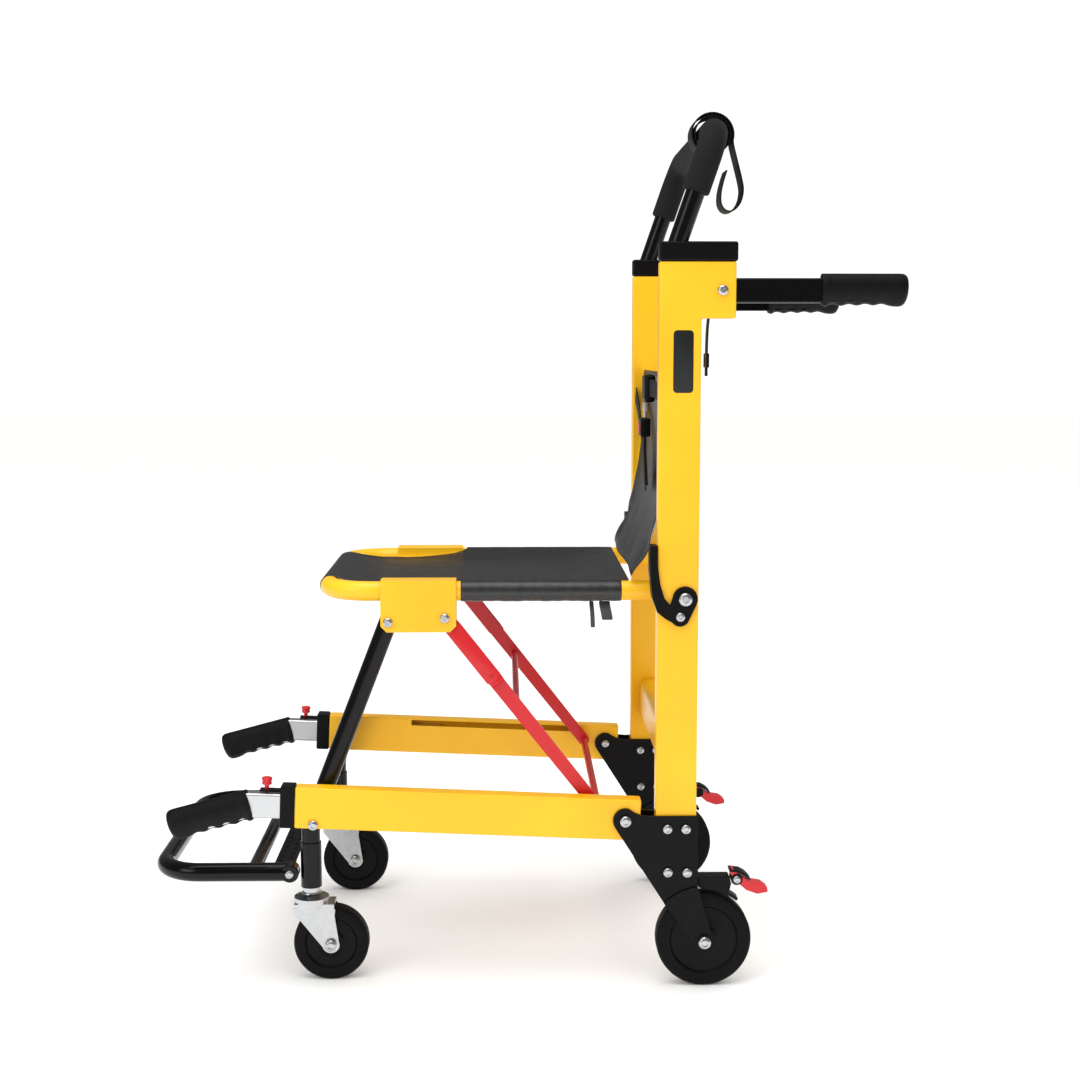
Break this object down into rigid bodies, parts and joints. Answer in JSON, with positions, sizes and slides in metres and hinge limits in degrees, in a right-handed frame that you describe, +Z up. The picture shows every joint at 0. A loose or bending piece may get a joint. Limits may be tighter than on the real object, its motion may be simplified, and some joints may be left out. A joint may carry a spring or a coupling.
{
  "type": "folding stair chair",
  "caption": "Folding stair chair with a vinyl sling seat, yellow posts and rails, carry handles front and rear, casters, braked rear wheels and a hinged footrest.",
  "frame": {"origin": "middle of the bounding box in plan, at floor level under the wheels", "axes": "-X is the way the sitter faces, +X is to the rear, -Y is the sitter's left, +Z is up"},
  "size_m": [0.9974, 0.4832, 1.1527],
  "materials": {
    "yellow_powder_coat": "gloss",
    "black_powder_coat": "satin",
    "black_gloss_tube": "gloss",
    "black_plastic": "satin",
    "black_foam": "matte",
    "black_grip": "matte",
    "wheel_rubber": "satin",
    "black_vinyl": "satin",
    "black_webbing": "matte",
    "red_powder_coat": "gloss",
    "red_plastic": "satin",
    "zinc_plate": "satin",
    "anodised_aluminium": "satin"
  },
  "bodies": {
    "frame": {"rear_post_left": "yellow_powder_coat", "rear_post_right": "yellow_powder_coat", "post_cap_left": "black_plastic", "post_cap_right": "black_plastic", "lift_handle": "black_gloss_tube", "lift_handle_foam": "black_foam", "lift_strap": "black_webbing", "cross_tube_lower": "yellow_powder_coat", "cross_tube_upper": "yellow_powder_coat", "hinge_plate_outer_left": "black_powder_coat", "hinge_plate_outer_right": "black_powder_coat", "hinge_plate_inner_left": "black_powder_coat", "hinge_plate_inner_right": "black_powder_coat", "rear_axle_left": "zinc_plate", "rear_axle_right": "zinc_plate", "brake_housing_left": "black_powder_coat", "brake_housing_right": "black_powder_coat", "side_guard_left": "black_plastic", "side_guard_right": "black_plastic", "rear_handle_pin_left": "zinc_plate", "rear_handle_pin_right": "zinc_plate", "back_sling": "black_vinyl"},
    "seat": {"seat_frame": "yellow_powder_coat", "seat_bracket_left": "yellow_powder_coat", "seat_bracket_right": "yellow_powder_coat", "seat_cover": "black_vinyl"},
    "rails": {"lower_rail_left": "yellow_powder_coat", "lower_rail_right": "yellow_powder_coat", "rail_cap_left": "black_plastic", "rail_cap_right": "black_plastic"},
    "legs": {"front_leg_left": "black_gloss_tube", "front_leg_right": "black_gloss_tube"},
    "footrest": {"footrest_frame": "black_gloss_tube", "foot_tread": "black_powder_coat"},
    "link": {"folding_link": "red_powder_coat"},
    "sliders": {"slot_slider_left": "black_plastic", "slot_slider_right": "black_plastic"},
    "belt": {"belt_stalk": "black_webbing", "belt_buckle": "black_plastic", "belt_tongue": "zinc_plate", "belt_pad": "black_webbing"},
    "belt_release": {"belt_button": "red_plastic"},
    "rear_wheel_left_body": {"rear_wheel_left": "wheel_rubber"},
    "caster_left": {"caster_fork_left": "zinc_plate"},
    "caster_wheel_left_body": {"caster_wheel_left": "wheel_rubber"},
    "brake_left": {"brake_pedal_left": "red_plastic"},
    "rear_handle_left": {"rear_handle_bar_left": "black_gloss_tube", "rear_handle_grip_left": "black_grip"},
    "front_handle_left": {"front_handle_bar_left": "anodised_aluminium", "front_handle_grip_left": "black_grip"},
    "release_left": {"release_knob_left": "red_plastic"},
    "rear_wheel_right_body": {"rear_wheel_right": "wheel_rubber"},
    "caster_right": {"caster_fork_right": "zinc_plate"},
    "caster_wheel_right_body": {"caster_wheel_right": "wheel_rubber"},
    "brake_right": {"brake_pedal_right": "red_plastic"},
    "rear_handle_right": {"rear_handle_bar_right": "black_gloss_tube", "rear_handle_grip_right": "black_grip"},
    "front_handle_right": {"front_handle_bar_right": "anodised_aluminium", "front_handle_grip_right": "black_grip"},
    "release_right": {"release_knob_right": "red_plastic"}
  },
  "joints": [
    {"name": "seat_fold", "type": "hinge", "parent": "frame", "child": "seat", "pos_m": [0.214, 0, 0.523], "axis": [0, 1, 0], "range_deg": [0, 73], "deforming": ["back_sling"]},
    {"name": "rail_fold", "type": "hinge", "parent": "frame", "child": "rails", "pos_m": [0.138, 0, 0.2275], "axis": [0, 1, 0], "range_deg": [0, 69.71]},
    {"name": "leg_fold", "type": "hinge", "parent": "seat", "child": "legs", "pos_m": [-0.1745, 0, 0.4885], "axis": [0, 1, 0], "range_deg": [-77.98, 0]},
    {"name": "link_fold", "type": "hinge", "parent": "seat", "child": "link", "pos_m": [-0.0997, 0, 0.494], "axis": [0, 1, 0], "range_deg": [-30.39, 0]},
    {"name": "slider_travel", "type": "slide", "parent": "rails", "child": "sliders", "axis": [-0.999, 0, 0.0436], "range_m": [0, 0.2383]},
    {"name": "belt_swing", "type": "slide", "parent": "frame", "child": "belt", "axis": [1, 0, 0], "range_m": [0, 0.0221]},
    {"name": "belt_button_press", "type": "slide", "parent": "belt", "child": "belt_release", "axis": [1, 0, 0], "range_m": [0, 0.0018], "stiffness_N_per_m": 400},
    {"name": "footrest_fold", "type": "hinge", "parent": "legs", "child": "footrest", "pos_m": [-0.31, 0, 0.1465], "axis": [0, 1, 0], "range_deg": [0, 85]},
    {"name": "rear_wheel_spin_left", "type": "hinge", "parent": "frame", "child": "rear_wheel_left_body", "pos_m": [0.2435, -0.217, 0.0635], "axis": [0, 1, 0], "continuous": true},
    {"name": "caster_swivel_left", "type": "hinge", "parent": "legs", "child": "caster_left", "pos_m": [-0.282, -0.1855, 0.11], "axis": [0, 0, 1], "continuous": true},
    {"name": "caster_spin_left", "type": "hinge", "parent": "caster_left", "child": "caster_wheel_left_body", "pos_m": [-0.2555, -0.1855, 0.0505], "axis": [0, 1, 0], "continuous": true},
    {"name": "brake_pedal_press_left", "type": "hinge", "parent": "frame", "child": "brake_left", "pos_m": [0.2875, -0.217, 0.1447], "axis": [0, 1, 0], "range_deg": [0, 9]},
    {"name": "rear_handle_fold_left", "type": "hinge", "parent": "frame", "child": "rear_handle_left", "pos_m": [0.2584, -0.217, 0.9205], "axis": [0, 1, 0], "range_deg": [0, 90]},
    {"name": "front_handle_extend_left", "type": "slide", "parent": "rails", "child": "front_handle_left", "axis": [-0.999, 0, 0.0436], "range_m": [0, 0.12]},
    {"name": "release_pull_left", "type": "slide", "parent": "rails", "child": "release_left", "axis": [0.0436, 0, 0.999], "range_m": [0, 0.006], "stiffness_N_per_m": 300},
    {"name": "rear_wheel_spin_right", "type": "hinge", "parent": "frame", "child": "rear_wheel_right_body", "pos_m": [0.2435, 0.217, 0.0635], "axis": [0, 1, 0], "continuous": true},
    {"name": "caster_swivel_right", "type": "hinge", "parent": "legs", "child": "caster_right", "pos_m": [-0.282, 0.1855, 0.11], "axis": [0, 0, 1], "continuous": true},
    {"name": "caster_spin_right", "type": "hinge", "parent": "caster_right", "child": "caster_wheel_right_body", "pos_m": [-0.2555, 0.1855, 0.0505], "axis": [0, 1, 0], "continuous": true},
    {"name": "brake_pedal_press_right", "type": "hinge", "parent": "frame", "child": "brake_right", "pos_m": [0.2875, 0.217, 0.1447], "axis": [0, 1, 0], "range_deg": [0, 9]},
    {"name": "rear_handle_fold_right", "type": "hinge", "parent": "frame", "child": "rear_handle_right", "pos_m": [0.2584, 0.217, 0.9205], "axis": [0, 1, 0], "range_deg": [0, 90]},
    {"name": "front_handle_extend_right", "type": "slide", "parent": "rails", "child": "front_handle_right", "axis": [-0.999, 0, 0.0436], "range_m": [0, 0.12]},
    {"name": "release_pull_right", "type": "slide", "parent": "rails", "child": "release_right", "axis": [0.0436, 0, 0.999], "range_m": [0, 0.006], "stiffness_N_per_m": 300}
  ],
  "couplings": [
    {"joint": "rail_fold", "follows": "seat_fold", "ratio": 0.9548},
    {"joint": "leg_fold", "follows": "seat_fold", "ratio": -1.0681},
    {"joint": "link_fold", "follows": "seat_fold", "ratio": -0.4161},
    {"joint": "slider_travel", "follows": "seat_fold", "m_per_rad": 0.18688},
    {"joint": "belt_swing", "follows": "seat_fold", "m_per_rad": 0.01727}
  ]
}
